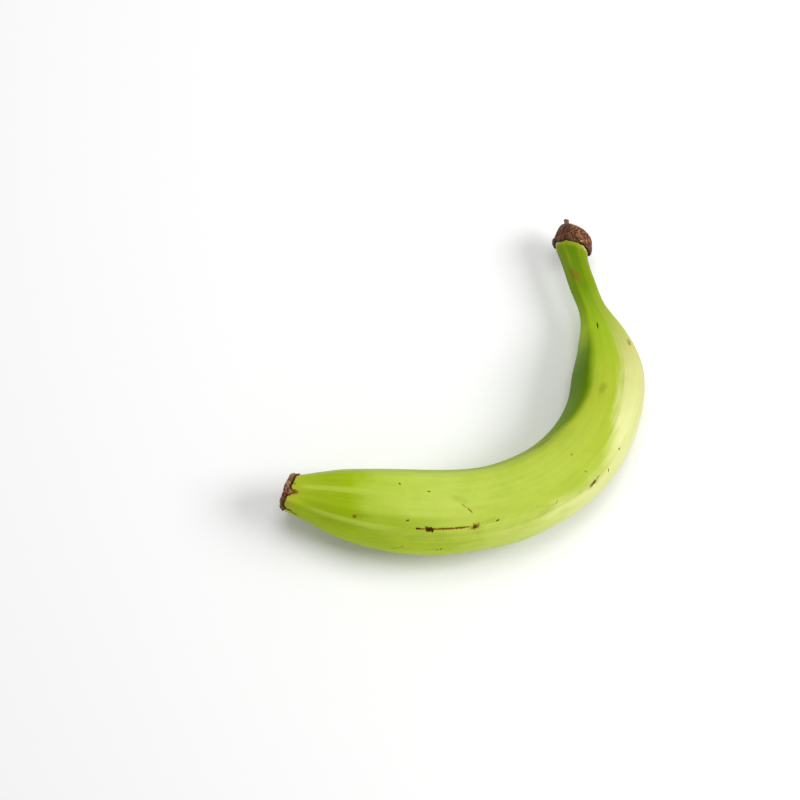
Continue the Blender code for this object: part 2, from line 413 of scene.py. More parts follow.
def note_value(piece: bpy.types.Object, name: str, values: Rows) -> None:
    """Keeps a number or a vector at each point, for the piece's finish.

    Args:
        piece: The piece.
        name: The attribute's name.
        values: A number, or a row of three, for each point.
    """
    kind, field = ("FLOAT", "value") if values.ndim == 1 else ("FLOAT_VECTOR", "vector")
    attribute = piece.data.attributes.new(name, kind, "POINT")
    attribute.data.foreach_set(field, np.ascontiguousarray(values, dtype=np.float32).ravel())


def grow(name: str, hoops: Sequence[Hoop], points_round: int) -> bpy.types.Object:
    """Grows a closed form from hoop to hoop, as by extruding a filled circle.

    Args:
        name: The new piece's name.
        hoops: The sections, in order. The first and the last are filled.
        points_round: The number of points round each section.

    Returns:
        The new piece, out of edit mode.
    """
    lift_off()
    first = hoops[0]
    bpy.ops.mesh.primitive_circle_add(
        vertices=points_round,
        radius=first.radius,
        fill_type="TRIFAN",
        location=first.centre,
        rotation=(math.pi / 2.0, 0.0, first.heading + math.pi / 2.0),
    )
    piece = bpy.context.object
    piece.name = name
    piece.data.name = name
    bpy.ops.object.transform_apply(location=True, rotation=True, scale=True)
    bpy.ops.object.mode_set(mode="EDIT")
    bpy.ops.mesh.select_all(action="SELECT")
    for before, after in zip(hoops, hoops[1:]):
        step = after.centre - before.centre
        bpy.ops.mesh.extrude_region_move(TRANSFORM_OT_translate={"value": step})
        turn = before.heading - after.heading
        if abs(turn) > 1e-9:
            bpy.ops.transform.rotate(
                value=turn,
                orient_axis="Z",
                orient_type="GLOBAL",
                center_override=after.centre,
            )
        growth = after.radius / before.radius
        bpy.ops.transform.resize(value=(growth,) * 3, center_override=after.centre)
    bpy.ops.mesh.select_all(action="SELECT")
    bpy.ops.mesh.normals_make_consistent(inside=False)
    bpy.ops.object.mode_set(mode="OBJECT")
    return piece


def round_off(piece: bpy.types.Object, levels: int) -> None:
    """Smooths a piece with a subdivision surface, which is then applied.

    Args:
        piece: The piece.
        levels: How many times each face is divided.
    """
    lift_off()
    bpy.context.view_layer.objects.active = piece
    piece.select_set(True)
    smoothing = piece.modifiers.new("smoothing", "SUBSURF")
    smoothing.levels = levels
    smoothing.render_levels = levels
    bpy.ops.object.modifier_apply(modifier=smoothing.name)
    bpy.ops.object.shade_smooth()


def waves(points: Rows, scale: float, seed: float) -> Rows:
    """Smooth uneven waves over points, about -1 to 1.

    Args:
        points: Points, one in each row.
        scale: How many waves there are in each unit of length.
        seed: Moves the pattern, so that two of them differ.

    Returns:
        The height of the waves at each point.
    """
    offset = Vector((seed, -seed, 0.5 * seed))
    rows = (points * scale).tolist()
    return np.array([noise.noise(Vector(row) + offset) for row in rows])


def cords(points: Rows, scale: float, seed: float, winding: float) -> Rows:
    """Winding raised cords, such as dried fibres: 1 on a cord's back and 0 well off it.

    Args:
        points: Points, one in each row.
        scale: How many cords there are in each unit of length.
        seed: Moves the pattern.
        winding: How far the cords wind, as a share of their spacing.

    Returns:
        The height of the cords at each point.
    """
    sway = np.stack([waves(points, 0.45 * scale, seed + 7.0 * i) for i in range(3)], axis=1)
    return 1.0 - np.minimum(1.0, 2.6 * np.abs(waves(points + winding * sway / scale, scale, seed)))


# ---------------------------------------------------------------------------------------------
# Finishes
# ---------------------------------------------------------------------------------------------


class Value:
    """A number that a shader works out, with the usual sums written as Python."""

    def __init__(self, bench: "FinishBench", socket: bpy.types.NodeSocket) -> None:
        """Wraps a node's output socket."""
        self.bench = bench
        self.socket = socket

    def _sum(self, operation: str, first: "Fed", second: "Fed" = None) -> "Value":
        """Adds one Math node.

        Args:
            operation: The node's operation.
            first: The first number.
            second: The second number, if the operation takes one.

        Returns:
            The node's result.
        """
        values = {0: first} if second is None else {0: first, 1: second}
        return self.bench.node("ShaderNodeMath", {"operation": operation}, values)

    def __add__(self, other: "Fed") -> "Value":
        """This plus another."""
        return self._sum("ADD", self, other)

    def __radd__(self, other: "Fed") -> "Value":
        """Another plus this."""
        return self._sum("ADD", other, self)

    def __sub__(self, other: "Fed") -> "Value":
        """This less another."""
        return self._sum("SUBTRACT", self, other)

    def __rsub__(self, other: "Fed") -> "Value":
        """Another less this."""
        return self._sum("SUBTRACT", other, self)

    def __mul__(self, other: "Fed") -> "Value":
        """This times another."""
        return self._sum("MULTIPLY", self, other)

    def __rmul__(self, other: "Fed") -> "Value":
        """Another times this."""
        return self._sum("MULTIPLY", other, self)

    def __truediv__(self, other: "Fed") -> "Value":
        """This over another."""
        return self._sum("DIVIDE", self, other)

    def most(self, other: "Fed") -> "Value":
        """The larger of this and another."""
        return self._sum("MAXIMUM", self, other)

    def cosine(self) -> "Value":
        """The cosine of this angle."""
        return self._sum("COSINE", self)

    def rise(self, start: float, end: float) -> "Value":
        """Rises smoothly from 0 where this is start to 1 where it is end.

        Args:
            start: Where the rise begins.
            end: Where it is over, which may be below start.

        Returns:
            The height of the rise.
        """
        if end < start:
            return 1.0 - self.rise(end, start)
        settings = {"interpolation_type": "SMOOTHSTEP"}
        values = {"Value": self, "From Min": start, "From Max": end}
        return self.bench.node("ShaderNodeMapRange", settings, values)


Fed = Union[Value, Number, Colour, Vector, None]


class Axis(Enum):
    """How a pattern's coordinates are read."""

    SKIN = "skin"
    PLACE = "Object"


@dataclass(frozen=True)
class Grain:
    """Uneven noise: how finely it is divided each way, and the finer noise that is laid over it."""

    scale: tuple[Number, Number, Number]
    detail: float = 2.0
    roughness: float = 0.5
    swirl: float = 0.0


class FinishBench:
    """A material being mixed: it makes nodes, feeds them and keeps their results."""

    def __init__(self, name: str) -> None:
        """Starts a material with a shader that is fed nothing yet.

        Args:
            name: The material's name.
        """
        self.material = bpy.data.materials.new(name)
        self.material.use_nodes = True
        self.tree = self.material.node_tree
        self.shader = self.tree.nodes["Principled BSDF"]

    def feed(self, socket: bpy.types.NodeSocket, value: Fed) -> None:
        """Links a result to a socket, or sets the socket to a plain number, colour or vector.

        Args:
            socket: The socket to feed.
            value: What it is fed.
        """
        if isinstance(value, Value):
            self.tree.links.new(value.socket, socket)
        elif socket.type == "RGBA":
            socket.default_value = (*tuple(value)[:3], 1.0)
        else:
            socket.default_value = value

    def node(
        self,
        kind: str,
        settings: Optional[dict[str, object]] = None,
        values: Optional[dict[Union[str, int], Fed]] = None,
        output: Union[str, int] = 0,
    ) -> Value:
        """Makes any node.

        Args:
            kind: The node's type.
            settings: The node's own settings, which are set first.
            values: What its sockets are fed, by name or number.
            output: The output that is used.

        Returns:
            The node's result.
        """
        made = self.tree.nodes.new(kind)
        for name, setting in (settings or {}).items():
            if name == "stops":
                self.set_stops(made.color_ramp, setting)
            else:
                setattr(made, name, setting)
        for name, value in (values or {}).items():
            self.feed(made.inputs[name], value)
        return Value(self, made.outputs[output])

    @staticmethod
    def set_stops(ramp: bpy.types.ColorRamp, stops: Sequence[tuple[float, Colour]]) -> None:
        """Gives a colour ramp its stops.

        Args:
            ramp: The ramp.
            stops: Each stop's position and colour.
        """
        for _ in range(len(stops) - 2):
            ramp.elements.new(0.5)
        for element, (position, colour) in zip(ramp.elements, stops):
            element.position = position
            element.color = (*colour, 1.0)

    def coordinates(self, axis: Axis) -> Value:
        """Reads the coordinates that a pattern is laid out on.

        Args:
            axis: Whether they follow the skin or the piece's place.

        Returns:
            The coordinates.
        """
        if axis is Axis.SKIN:
            return self.node("ShaderNodeAttribute", {"attribute_name": "skin"}, output="Vector")
        return self.node("ShaderNodeTexCoord", output="Object")

    def noted(self, name: str) -> Value:
        """A number that was kept at the piece's points."""
        return self.node("ShaderNodeAttribute", {"attribute_name": name}, output="Fac")

    def parts(self, vector: Value) -> tuple[Value, Value, Value]:
        """Splits a vector.

        Args:
            vector: The vector.

        Returns:
            Its three numbers.
        """
        split = self.node("ShaderNodeSeparateXYZ", None, {0: vector})
        outputs = split.socket.node.outputs
        return Value(self, outputs[0]), Value(self, outputs[1]), Value(self, outputs[2])

    def grain(self, vector: Value, kind: Grain) -> Value:
        """Lays out uneven noise.

        Args:
            vector: The coordinates.
            kind: The noise's scale and detail.

        Returns:
            The noise, from 0 to 1.
        """
        laid = self.node("ShaderNodeMapping", None, {"Vector": vector, "Scale": kind.scale})
        values = {
            "Vector": laid,
            "Scale": 1.0,
            "Detail": kind.detail,
            "Roughness": kind.roughness,
            "Distortion": kind.swirl,
        }
        return self.node("ShaderNodeTexNoise", None, values)

    def dots(self, vector: Value, scale: tuple[Number, Number, Number], size: float) -> Value:
        """Scattered round dots: 1 inside them, 0 outside.

        Args:
            vector: The coordinates.
            scale: How finely the dots are scattered along each of them.
            size: A dot's radius as a share of their spacing.

        Returns:
            Where the dots are.
        """
        laid = self.node("ShaderNodeMapping", None, {"Vector": vector, "Scale": scale})
        spread = self.node("ShaderNodeTexVoronoi", None, {"Vector": laid, "Scale": 1.0})
        return spread.rise(size, 0.35 * size)

    def blend(self, share: Fed, first: Fed, second: Fed, way: str = "MIX") -> Value:
        """Mixes two colours.

        Args:
            share: How much of the second shows.
            first: The first colour.
            second: The second colour.
            way: The Mix node's way of blending.

        Returns:
            The mixed colour.
        """
        settings = {"data_type": "RGBA", "blend_type": way}
        return self.node("ShaderNodeMix", settings, {0: share, 6: first, 7: second}, output=2)

    def ramp(self, value: Fed, stops: Sequence[tuple[float, Colour]]) -> Value:
        """A colour picked from a ramp.

        Args:
            value: Where on the ramp to look.
            stops: The ramp's positions and colours.

        Returns:
            The colour.
        """
        return self.node("ShaderNodeValToRGB", {"stops": stops}, {0: value})

    def relief(self, height: Value, distance: float, strength: float = 1.0) -> Value:
        """The surface's facing once fine relief is added.

        Args:
            height: The relief, from 0 to 1.
            distance: How high 1 stands, in metres.
            strength: How much of it shows.

        Returns:
            The new facing.
        """
        values = {"Height": height, "Distance": distance, "Strength": strength}
        return self.node("ShaderNodeBump", None, values)

    def finish(self, values: dict[str, Fed]) -> bpy.types.Material:
        """Feeds the shader and hands over the material.

        Args:
            values: What each of the shader's sockets is fed.

        Returns:
            The finished material.
        """
        for name, value in values.items():
            self.feed(self.shader.inputs[name], value)
        return self.material


@dataclass(frozen=True)
class Mark:
    """A mark on the peel: where it is, its size, and which way it runs.

    The angle round is in degrees, the lengths are in metres, and the slant is how far in degrees
    it turns, from running along the fruit, away from up.
    """

    place: float
    angle: float
    length: float
    width: float
    slant: float = 0.0
    strength: float = 1.0

    def turn(self) -> Euler:
        """The mark's turn on the coordinates of the skin."""
        round_fruit = Matrix.Rotation(math.radians(self.angle), 3, "X")
        return (round_fruit @ Matrix.Rotation(math.radians(self.slant), 3, "Y")).to_euler()

    def depth(self, place: Rows, aside: Rows) -> Rows:
        """How deeply the mark is sunk at each point, from 0 to 1.

        Args:
            place: The points' places along the fruit.
            aside: How far round from the mark they are, in metres.

        Returns:
            The depth at each point.
        """
        slant = math.radians(self.slant)
        ahead = place - self.place
        long_way = (ahead * math.cos(slant) - aside * math.sin(slant)) / (self.length / 2.0)
        short_way = (ahead * math.sin(slant) + aside * math.cos(slant)) / (self.width / 2.0)
        return self.strength * smooth_rise(-np.hypot(long_way, short_way), -1.3, -0.4)


@dataclass(frozen=True)
class RidgeLine:
    """A line that shows along a ridge near the fruit's tip.

    The direction round the fruit is in degrees and half the line's width in radians. The ends are
    the places where the line starts to show, shows, starts to fade and is gone.
    """

    direction: float
    half_width: float
    ends: Ends
    strength: float


DARK_SCARS = (
    Mark(0.0764, 53.8, 0.0050, 0.0028, slant=12.0),
    Mark(0.0706, 54.5, 0.0026, 0.0011, strength=0.8),
    Mark(0.0986, 53.4, 0.0032, 0.0022, slant=-20.0, strength=0.7),
    Mark(0.0595, 114.3, 0.0018, 0.0010, slant=30.0, strength=0.6),
    Mark(0.0762, 104.7, 0.0024, 0.0009, slant=8.0, strength=0.45),
    Mark(0.0652, 63.9, 0.0018, 0.0011, slant=-25.0, strength=0.6),
    Mark(0.1100, 56.3, 0.0024, 0.0009, slant=-22.0, strength=0.6),
    Mark(0.0806, 10.0, 0.0024, 0.0007, slant=-58.0, strength=0.7),
    Mark(0.0823, 12.0, 0.0020, 0.0008, slant=-66.0, strength=0.9),
    Mark(0.1592, 39.6, 0.0040, 0.0017, slant=-13.0, strength=0.75),
    Mark(0.1684, 34.0, 0.0036, 0.0006, slant=104.0, strength=0.6),
    Mark(0.1786, 43.2, 0.0013, 0.0011, strength=0.8),
    Mark(0.2442, 105.0, 0.0044, 0.0008, slant=14.0, strength=0.9),
    Mark(0.2296, 32.0, 0.0022, 0.0012, slant=40.0, strength=0.5),
    Mark(0.0020, 10.0, 0.0044, 0.0026, slant=-14.0, strength=0.8),
    Mark(0.0055, 3.0, 0.0044, 0.0016, slant=16.0, strength=0.75),
)
BROWN_MARKS_AND_NECK_SHADOW = (
    Mark(0.0030, 79.0, 0.0056, 0.0030, slant=8.0),
    Mark(0.0016, 104.0, 0.0036, 0.0016, slant=-12.0, strength=0.6),
    Mark(0.0850, 54.1, 0.0330, 0.0013, strength=1.0),
    Mark(0.0989, 53.6, 0.0060, 0.0036, slant=-15.0, strength=0.7),
    Mark(0.0379, 59.4, 0.0026, 0.0019, strength=0.85),
    Mark(0.0944, 82.6, 0.0036, 0.0009, slant=37.0, strength=0.5),
    Mark(0.0970, 76.3, 0.0046, 0.0011, slant=50.0, strength=0.75),
    Mark(0.0597, 7.0, 0.0072, 0.0008, slant=-33.0, strength=0.7),
    # A dark olive smudge on the stalk, partly a stain and partly a painted shadow; a second mark at
    # the same place is among the soft scuffs.
    Mark(0.2771, 118.0, 0.0080, 0.0050, slant=20.0, strength=0.45),
    Mark(0.0633, 15.0, 0.0036, 0.0008, slant=-62.0, strength=0.7),
    Mark(0.1592, 39.6, 0.0062, 0.0030, slant=-13.0, strength=0.7),
    Mark(0.1622, 42.5, 0.0022, 0.0016, strength=0.5),
    Mark(0.2306, 51.8, 0.0044, 0.0026, slant=20.0, strength=0.6),
    Mark(0.1394, 50.9, 0.0024, 0.0010, slant=-30.0, strength=0.5),
    Mark(0.1598, 93.9, 0.0018, 0.0012, strength=0.6),
    Mark(0.1591, 62.5, 0.0020, 0.0010, slant=50.0, strength=0.5),
    Mark(0.1545, 142.0, 0.0105, 0.0012, slant=18.0, strength=0.7),
    Mark(0.1500, 138.0, 0.0060, 0.0009, slant=24.0, strength=0.6),
    Mark(0.1200, 152.0, 0.0034, 0.0010, slant=10.0, strength=0.6),
    Mark(0.1310, 262.0, 0.0120, 0.0024, slant=-12.0, strength=0.5),
    Mark(0.2050, 290.0, 0.0060, 0.0030, slant=30.0, strength=0.5),
    Mark(0.0520, 215.0, 0.0085, 0.0010, slant=-8.0, strength=0.6),
    Mark(0.0900, 318.0, 0.0026, 0.0016, slant=15.0, strength=0.6),
)
SCUFFS_AND_NECK_SHADOW = (
    Mark(0.2034, 103.0, 0.0075, 0.0048, slant=10.0, strength=0.55),
    Mark(0.0925, 92.0, 0.0110, 0.0040, slant=25.0, strength=0.28),
    Mark(0.1075, 58.0, 0.0100, 0.0030, strength=0.3),
    # The same smudge on the stalk, partly a stain and partly a painted shadow.
    Mark(0.2771, 116.0, 0.0085, 0.0080, slant=20.0, strength=0.75),
    Mark(0.1500, 146.0, 0.0190, 0.0050, slant=14.0, strength=0.5),
    Mark(0.0410, 62.0, 0.0100, 0.0024, slant=-6.0, strength=0.4),
    Mark(0.1340, 48.0, 0.0120, 0.0040, slant=-12.0, strength=0.25),
    Mark(0.1650, 225.0, 0.0160, 0.0070, slant=-10.0, strength=0.4),
    Mark(0.0700, 300.0, 0.0200, 0.0060, slant=6.0, strength=0.4),
)


@dataclass(frozen=True)
class PeelFinish:
    """Waxy green peel: paler out of the bend, partly its own tone and partly a painted highlight,
    darker inside the bend, partly its own green and partly painted shade, streaked lengthwise, with
    the marks of handling.
    """

    name: str = "green_peel"
    wax_roughness: float = 0.40
    wax_gloss: float = 0.04
    pale_and_highlight_direction: float = 10.0
    shaded_direction: float = 172.0
    rim_directions: tuple[float, float] = (15.0, 170.0)
    mark_depth: float = 0.004
    mark_raggedness: float = 2.6
    brown: Colour = from_card(120, 84, 26)
    dark_brown: Colour = from_card(62, 42, 12)
    olive: Colour = from_card(126, 128, 22)
    ridge_light: Colour = from_card(206, 222, 100)
    ridge_dark: Colour = from_card(138, 164, 10)
    tip_yellow: Colour = from_card(184, 180, 58)
    rim_cream: Colour = from_card(208, 212, 150)
    top_colours: tuple[tuple[float, Colour], ...] = (
        (0.000, from_card(164, 184, 42)),
        (0.034, from_card(152, 178, 20)),
        (0.044, from_card(173, 196, 62)),
        (0.080, from_card(181, 199, 80)),
        (0.150, from_card(173, 191, 66)),
        (0.200, from_card(166, 181, 48)),
        (0.245, from_card(146, 176, 34)),
        (0.270, from_card(98, 131, 2)),
        (0.298, from_card(90, 120, 2)),
    )
    # Out of the bend the greens are partly the peel's own paler tone and partly a painted highlight,
    # palest and bluest from 0.12 to 0.19 along.
    outer_colours_with_highlight: tuple[tuple[float, Colour], ...] = (
        (0.000, from_card(166, 190, 20)),
        (0.040, from_card(178, 206, 26)),
        (0.080, from_card(194, 216, 54)),
        (0.120, from_card(210, 225, 106)),
        (0.150, from_card(221, 226, 142)),
        (0.190, from_card(212, 215, 144)),
        (0.225, from_card(190, 190, 114)),
        (0.248, from_card(158, 174, 62)),
        (0.270, from_card(122, 146, 14)),
        (0.298, from_card(116, 130, 12)),
    )
    # Inside the bend the greens are partly the peel's own deeper green and partly painted shade,
    # darkest from 0.18 to 0.23 along.
    inner_colours_with_shade: tuple[tuple[float, Colour], ...] = (
        (0.000, from_card(128, 154, 6)),
        (0.030, from_card(132, 158, 8)),
        (0.080, from_card(150, 178, 36)),
        (0.140, from_card(142, 168, 18)),
        (0.180, from_card(104, 136, 4)),
        (0.215, from_card(90, 124, 2)),
        (0.230, from_card(104, 136, 4)),
        (0.245, from_card(156, 184, 28)),
        (0.270, from_card(120, 150, 6)),
        (0.298, from_card(126, 150, 26)),
    )

    dark_ridge: RidgeLine = RidgeLine(59.0, 0.12, (0.004, 0.014, 0.060, 0.110), 0.55)
    light_ridges: tuple[RidgeLine, ...] = (
        RidgeLine(51.0, 0.05, (0.006, 0.020, 0.045, 0.070), 0.375),
        RidgeLine(99.0, 0.06, (0.004, 0.010, 0.030, 0.050), 0.3375),
        RidgeLine(148.0, 0.045, (0.004, 0.010, 0.045, 0.075), 0.525),
        RidgeLine(199.0, 0.05, (0.004, 0.012, 0.040, 0.075), 0.45),
        RidgeLine(266.0, 0.05, (0.004, 0.012, 0.040, 0.075), 0.45),
        RidgeLine(336.0, 0.05, (0.004, 0.012, 0.040, 0.075), 0.45),
    )
    patches: Grain = Grain((55, 90, 90), detail=3.0, roughness=0.55, swirl=0.6)
    streaks: Grain = Grain((16, 520, 520), detail=4.0, roughness=0.6, swirl=0.1)
    threads: Grain = Grain((60, 2300, 2300), roughness=0.6)
    clouds: Grain = Grain((210, 210, 210), detail=4.0, roughness=0.6, swirl=0.5)
    ragged: Grain = Grain((900, 900, 900), detail=4.0, roughness=0.7)
    pits: Grain = Grain((2600, 2600, 2600))
    pores_per_metre: tuple[Number, Number, Number] = (110, 150, 150)
    pore_size: float = 0.055
    pore_strength: float = 0.35
    tones: tuple[tuple[float, Colour], ...] = (
        (0.22, (0.76, 0.82, 0.55)),
        (0.50, (1.0, 1.0, 1.0)),
        (0.80, (1.16, 1.12, 1.5)),
    )
    relief_height: float = 0.00012
    relief_strength: float = 0.55

    def where(self, lay: "PeelLayout", marks: Sequence[Mark], ragged: Value) -> Value:
        """Where marks of one kind are.

        Args:
            lay: The peel's coordinates and patterns.
            marks: The marks.
            ragged: How much their edges go in and out.

        Returns:
            1 in the middle of a mark and 0 off it.
        """
        total = None
        for mark in marks:
            width = lay.form.width_at(mark.place, mark.width)
            values = {
                "Vector": lay.skin,
                "Location": lay.form.laid_out(mark.place, mark.angle),
                "Rotation": mark.turn(),
                "Scale": (mark.length / 2.0, self.mark_depth, width / 2.0),
            }
            laid = lay.bench.node("ShaderNodeMapping", {"vector_type": "TEXTURE"}, values)
            away = lay.bench.node("ShaderNodeVectorMath", {"operation": "LENGTH"}, {0: laid}, "Value")
            inside = (away + ragged).rise(1.2, 0.5) * mark.strength
            total = inside if total is None else total.most(inside)
        return total

    def along(self, lay: "PeelLayout", sway: float, colours: Sequence[tuple[float, Colour]]) -> Value:
        """A colour that changes along the fruit.

        Args:
            lay: The peel's coordinates and patterns.
            sway: How far the patches push the colours along.
            colours: The colours and their places.

        Returns:
            The colour.
        """
        length = colours[-1][0]
        stops = [(stop / length, colour) for stop, colour in colours]
        return lay.bench.ramp((lay.place + lay.wander * sway) / length, stops)

    def ridge(self, lay: "PeelLayout", line: RidgeLine) -> Value:
        """Where a ridge's line shows.

        Args:
            lay: The peel's coordinates and patterns.
            line: The line.

        Returns:
            The line's strength on it and 0 off it.
        """
        across = lay.toward(line.direction).rise(math.cos(2.0 * line.half_width), 1.0)
        shows, full, fades, gone = line.ends
        length = lay.place.rise(shows, full) * lay.place.rise(gone, fades)
        return across * length * line.strength

    def lay_ground(self, lay: "PeelLayout") -> Value:
        """Lays the peel's greens: pale out of the bend, partly a painted highlight; dark inside it,
        partly painted shade; streaked lengthwise.

        Args:
            lay: The peel's coordinates and patterns.

        Returns:
            The colour.
        """
        bench, place = lay.bench, lay.place
        # The inside mask lays the inner colours, which carry painted shade, and spreads them further
        # round at the bend.
        inside = lay.toward(self.shaded_direction) + lay.wander * 0.3 + place.rise(0.150, 0.205) * 0.25
        top = self.along(lay, 0.02, self.top_colours)
        outer = self.along(lay, 0.03, self.outer_colours_with_highlight)
        inner_with_shade = self.along(lay, 0.02, self.inner_colours_with_shade)
        # The outside mask lays the outer colours, which carry a painted highlight.
        colour = bench.blend(lay.outside, top, outer)
        colour = bench.blend(inside.rise(0.76, 0.98), colour, inner_with_shade)

        thread_share = 0.10 + 0.22 * place.rise(0.060, 0.015)
        tone = (lay.patches - 0.5) * 0.42 + (lay.streaks - 0.5) * 0.34 + (lay.clouds - 0.5) * 0.16
        tone = tone + (lay.threads - 0.5) * thread_share + 0.5
        return bench.blend(1.0, colour, bench.ramp(tone, self.tones), "MULTIPLY")

    def draw_ridges(self, lay: "PeelLayout", colour: Value) -> Value:
        """Draws the dark and light lines along the ridges near the tip.

        Args:
            lay: The peel's coordinates and patterns.
            colour: The colour so far.

        Returns:
            The colour with the lines.
        """
        first, *others = (self.ridge(lay, line) for line in self.light_ridges)
        light = first
        for other in others:
            light = light.most(other)
        colour = lay.bench.blend(self.ridge(lay, self.dark_ridge), colour, self.ridge_dark)
        return lay.bench.blend(light, colour, self.ridge_light)

    def tint_ends(self, lay: "PeelLayout", colour: Value) -> Value:
        """Yellows the tip and the stalk's end, where a pale rim peeps out from under the crown.

        Args:
            lay: The peel's coordinates and patterns.
            colour: The colour so far.

        Returns:
            The colour with both ends tinted.
        """
        bench = lay.bench
        tip = (lay.place + lay.wander * 0.010 + (lay.streaks - 0.5) * 0.006).rise(0.0100, -0.0010)
        colour = bench.blend(tip * 0.60, colour, self.tip_yellow)
        edge = bench.noted("crown_edge") + (lay.clouds - 0.5) * 0.0012
        colour = bench.blend(edge.rise(-0.0034, -0.0008) * 0.35, colour, self.tip_yellow)
        near_side, far_side = (lay.toward(direction) for direction in self.rim_directions)
        sides = near_side.rise(0.55, 0.95).most(far_side.rise(0.80, 0.98))
        colour = bench.blend(edge.rise(-0.0016, -0.0006) * sides * 0.9, colour, self.rim_cream)
        return bench.blend(edge.rise(-0.0004, 0.0001), colour, self.dark_brown)

    def draw_marks(self, lay: "PeelLayout", colour: Value) -> Value:
        """Draws the soft scuff marks, scars and pores, and a dark olive smudge on the stalk that is
        partly a stain and partly a painted shadow.

        Args:
            lay: The peel's coordinates and patterns.
            colour: The colour so far.

        Returns:
            The colour with the marks.
        """
        bench = lay.bench
        ragged = (bench.grain(lay.skin, self.ragged) - 0.5) * self.mark_raggedness
        scuffs_and_shadow = self.where(lay, SCUFFS_AND_NECK_SHADOW, ragged)
        browns_and_shadow = self.where(lay, BROWN_MARKS_AND_NECK_SHADOW, ragged)
        darks = self.where(lay, DARK_SCARS, ragged)
        pores = bench.dots(lay.skin, self.pores_per_metre, self.pore_size) * self.pore_strength
        # The scuff and brown masks also carry the stalk's smudge, partly a stain and partly a painted
        # shadow.
        colour = bench.blend(scuffs_and_shadow * (0.55 + 0.45 * lay.clouds), colour, self.olive)
        colour = bench.blend(browns_and_shadow.most(darks.rise(0.05, 0.45)).most(pores), colour, self.brown)
        return bench.blend(darks.rise(0.35, 0.95), colour, self.dark_brown)

    def mix(self, form: SkinMap) -> bpy.types.Material:
        """Mixes the peel.

        Args:
            form: How the skin is laid out.

        Returns:
            The material.
        """
        bench = FinishBench(self.name)
        lay = PeelLayout(bench, form, self)
        colour = self.draw_ridges(lay, self.lay_ground(lay))
        colour = self.draw_marks(lay, self.tint_ends(lay, colour))
        worn = bench.noted("worn")
        roughness = self.wax_roughness + (lay.clouds - 0.5) * 0.16 + worn * 0.25
        height = bench.grain(lay.here, self.pits) * 0.25 + lay.threads * 0.45 + lay.streaks * 0.5
        return bench.finish(
            {
                "Base Color": colour,
                "Roughness": roughness + lay.outside * 0.06,
                "Specular IOR Level": self.wax_gloss,
                "Normal": bench.relief(height, self.relief_height, self.relief_strength),
            }
        )


class PeelLayout:
    """The coordinates and patterns that the peel's finish is worked out from."""

    def __init__(self, bench: FinishBench, form: SkinMap, finish: PeelFinish) -> None:
        """Lays the patterns out.

        Args:
            bench: The material being mixed.
            form: How the skin is laid out.
            finish: The finish, which holds the patterns' sizes.
        """
        self.bench = bench
        self.form = form
        self.skin = bench.coordinates(Axis.SKIN)
        self.here = bench.coordinates(Axis.PLACE)
        self.place, out, up = bench.parts(self.skin)
        self.angle = bench.node("ShaderNodeMath", {"operation": "ARCTAN2"}, {0: up, 1: out})
        self.patches = bench.grain(self.skin, finish.patches)
        self.streaks = bench.grain(self.skin, finish.streaks)
        self.threads = bench.grain(self.skin, finish.threads)
        self.clouds = bench.grain(self.here, finish.clouds)
        self.wander = (self.patches - 0.5) * 0.5
        # The outside mask marks the pale side out of the bend, which also carries a painted highlight;
        # it is widened at the bend.
        outward = self.toward(finish.pale_and_highlight_direction) + self.place.rise(0.158, 0.205) * 0.42
        outward = outward + self.wander * 0.6 + (self.streaks - 0.5) * 0.25
        self.outside = outward.rise(0.64, 1.0)

    def toward(self, direction: float) -> Value:
        """1 on the side that faces a direction in degrees, and -1 on the far side."""
        return (self.angle - math.radians(direction)).cosine()


@dataclass(frozen=True)
class CrownFinish:
    """The dried crown: dark leathery skin with tan fibres standing out of it, and a pale nub; darkest
    in the hollows between the fibres, which is painted shade, and tan on the raised fibres, partly
    their own colour and partly a painted highlight.
    """

    name: str = "dried_crown"
    hollow_shade: Colour = from_card(44, 21, 10)
    brown: Colour = from_card(92, 52, 28)
    fibre: Colour = from_card(132, 86, 46)
    tan: Colour = from_card(206, 162, 112)
    nub_grey: Colour = from_card(132, 100, 78)
    mottle: Grain = Grain((520, 520, 520), detail=4.0, roughness=0.65)
    grit: Grain = Grain((2400, 2400, 2400), detail=3.0, roughness=0.6)
    dryness: float = 0.62
    relief_height: float = 0.0003

    def mix(self) -> bpy.types.Material:
        """Mixes the dried crown.

        Returns:
            The material.
        """
        bench = FinishBench(self.name)
        here = bench.coordinates(Axis.PLACE)
        mottle = bench.grain(here, self.mottle)
        grit = bench.grain(here, self.grit)
        tone = bench.noted("relief") + (mottle - 0.5) * 0.55 + (grit - 0.5) * 0.25
        # From painted shade in the hollows up to tan on the raised fibres, which is partly a painted
        # highlight.
        stops = ((0.06, self.hollow_shade), (0.34, self.brown), (0.66, self.fibre), (0.92, self.tan))
        nub = bench.noted("nub") * (0.25 + 0.6 * mottle)
        return bench.finish(
            {
                "Base Color": bench.blend(nub, bench.ramp(tone, stops), self.nub_grey),
                "Roughness": self.dryness + (mottle - 0.5) * 0.3,
                "Specular IOR Level": 0.3,
                "Normal": bench.relief(grit * 0.6 + mottle * 0.4, self.relief_height, 0.6),
            }
        )


